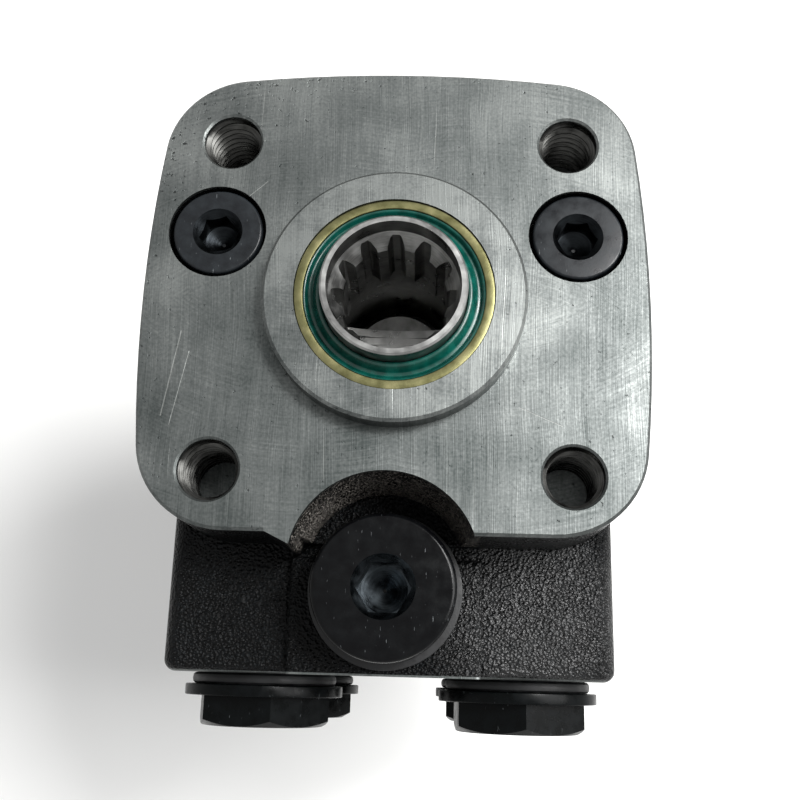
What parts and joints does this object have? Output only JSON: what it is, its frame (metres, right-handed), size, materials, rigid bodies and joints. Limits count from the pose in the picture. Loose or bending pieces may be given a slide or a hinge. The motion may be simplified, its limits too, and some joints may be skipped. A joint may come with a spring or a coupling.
{
  "type": "orbital steering unit",
  "caption": "Hydrostatic steering unit: square mounting flange with splined input, cast housing with plugged ports, rotary valve and orbiting gear set under a bolted end cover.",
  "frame": {"origin": "centre of the mounting bolt pattern, on the flange face and the shaft axis", "axes": "+Z out of the flange along the input shaft, -Y towards the port face, +X to the right as seen from the ports"},
  "size_m": [0.088, 0.1137, 0.1536],
  "materials": {
    "machined_iron": "machined grey iron, black enamel on the cast sides",
    "gear_steel": "ground steel",
    "black_oxide": "black oxide",
    "zinc_yellow": "yellow zinc plating",
    "green_rubber": "green elastomer",
    "black_rubber": "nitrile rubber",
    "slide_plastic": "bronze-filled sliding plastic",
    "copper_washer": "annealed copper",
    "black_iron": "black enamel over machined iron"
  },
  "bodies": {
    "housing": {"housing": "machined_iron", "dust_seal_case": "zinc_yellow", "dust_seal_lip": "green_rubber", "shaft_seal_ring": "slide_plastic", "shaft_seal_o_ring": "black_rubber", "bearing_race_front": "gear_steel", "distributor_plate": "black_iron", "stator": "black_iron", "end_cover": "black_iron", "cover_screws": "black_oxide", "pin_screw": "black_oxide", "cover_washers": "copper_washer", "housing_o_ring": "black_rubber", "plate_o_ring": "black_rubber", "cover_o_ring": "black_rubber", "relief_plug": "black_oxide", "relief_plug_washer": "black_rubber", "relief_adjusting_screw": "gear_steel", "relief_spring": "gear_steel", "relief_seat": "gear_steel", "left_shock_plug": "black_oxide", "right_shock_plug": "black_oxide", "left_shock_spring": "gear_steel", "right_shock_spring": "gear_steel", "check_ball_bush": "gear_steel", "front_left_port_plug": "black_oxide", "front_right_port_plug": "black_oxide", "rear_left_port_plug": "black_oxide", "rear_right_port_plug": "black_oxide", "port_plug_o_rings": "black_rubber"},
    "sleeve": {"sleeve": "gear_steel", "sleeve_ring": "gear_steel", "cross_pin": "gear_steel", "neutral_springs": "gear_steel", "bearing_race_rear": "gear_steel"},
    "spool": {"spool": "gear_steel"},
    "needle_cage": {"bearing_needle_cage": "gear_steel"},
    "orbit_carrier": {"spacer": "gear_steel"},
    "rotor": {"rotor": "gear_steel"},
    "cardan": {"cardan_shaft": "gear_steel"},
    "relief_cone": {"relief_cone": "gear_steel"},
    "left_shock_ball": {"left_shock_ball": "gear_steel"},
    "right_shock_ball": {"right_shock_ball": "gear_steel"},
    "check_ball": {"check_ball": "gear_steel"}
  },
  "joints": [
    {"name": "sleeve_spin", "type": "hinge", "parent": "housing", "child": "sleeve", "pos_m": [0, 0, 0], "axis": [0, 0, 1], "continuous": true},
    {"name": "spool_twist", "type": "hinge", "parent": "sleeve", "child": "spool", "pos_m": [0, 0, 0], "axis": [0, 0, 1], "range_deg": [-8, 8], "stiffness_Nm_per_rad": 8, "deforming": ["neutral_springs"]},
    {"name": "cage_spin", "type": "hinge", "parent": "housing", "child": "needle_cage", "pos_m": [0, 0, -0.0155], "axis": [0, 0, 1], "continuous": true},
    {"name": "rotor_orbit", "type": "hinge", "parent": "housing", "child": "orbit_carrier", "pos_m": [0, 0, -0.1114], "axis": [0, 0, 1], "continuous": true},
    {"name": "rotor_spin", "type": "hinge", "parent": "orbit_carrier", "child": "rotor", "pos_m": [0.0034, 0, -0.1114], "axis": [0, 0, 1], "continuous": true},
    {"name": "cardan_spin", "type": "hinge", "parent": "orbit_carrier", "child": "cardan", "pos_m": [0, 0, -0.036], "axis": [-0.045, 0, 0.999], "continuous": true},
    {"name": "relief_lift", "type": "slide", "parent": "housing", "child": "relief_cone", "axis": [0, 0, 1], "range_m": [0, 0.0015], "stiffness_N_per_m": 4000, "springref_m": -0.008, "deforming": ["relief_spring"]},
    {"name": "left_shock_lift", "type": "slide", "parent": "housing", "child": "left_shock_ball", "axis": [0, 0, 1], "range_m": [0, 0.0012], "stiffness_N_per_m": 2000, "springref_m": -0.003, "deforming": ["left_shock_spring"]},
    {"name": "right_shock_lift", "type": "slide", "parent": "housing", "child": "right_shock_ball", "axis": [0, 0, 1], "range_m": [0, 0.0012], "stiffness_N_per_m": 2000, "springref_m": -0.003, "deforming": ["right_shock_spring"]},
    {"name": "check_ball_lift", "type": "slide", "parent": "housing", "child": "check_ball", "axis": [0, 0, 1], "range_m": [0, 0.0028]}
  ],
  "couplings": [
    {"joint": "cage_spin", "follows": "sleeve_spin", "ratio": 0.5},
    {"joint": "rotor_orbit", "follows": "sleeve_spin", "ratio": -6},
    {"joint": "rotor_spin", "follows": "sleeve_spin", "ratio": 7},
    {"joint": "cardan_spin", "follows": "sleeve_spin", "ratio": 7}
  ]
}
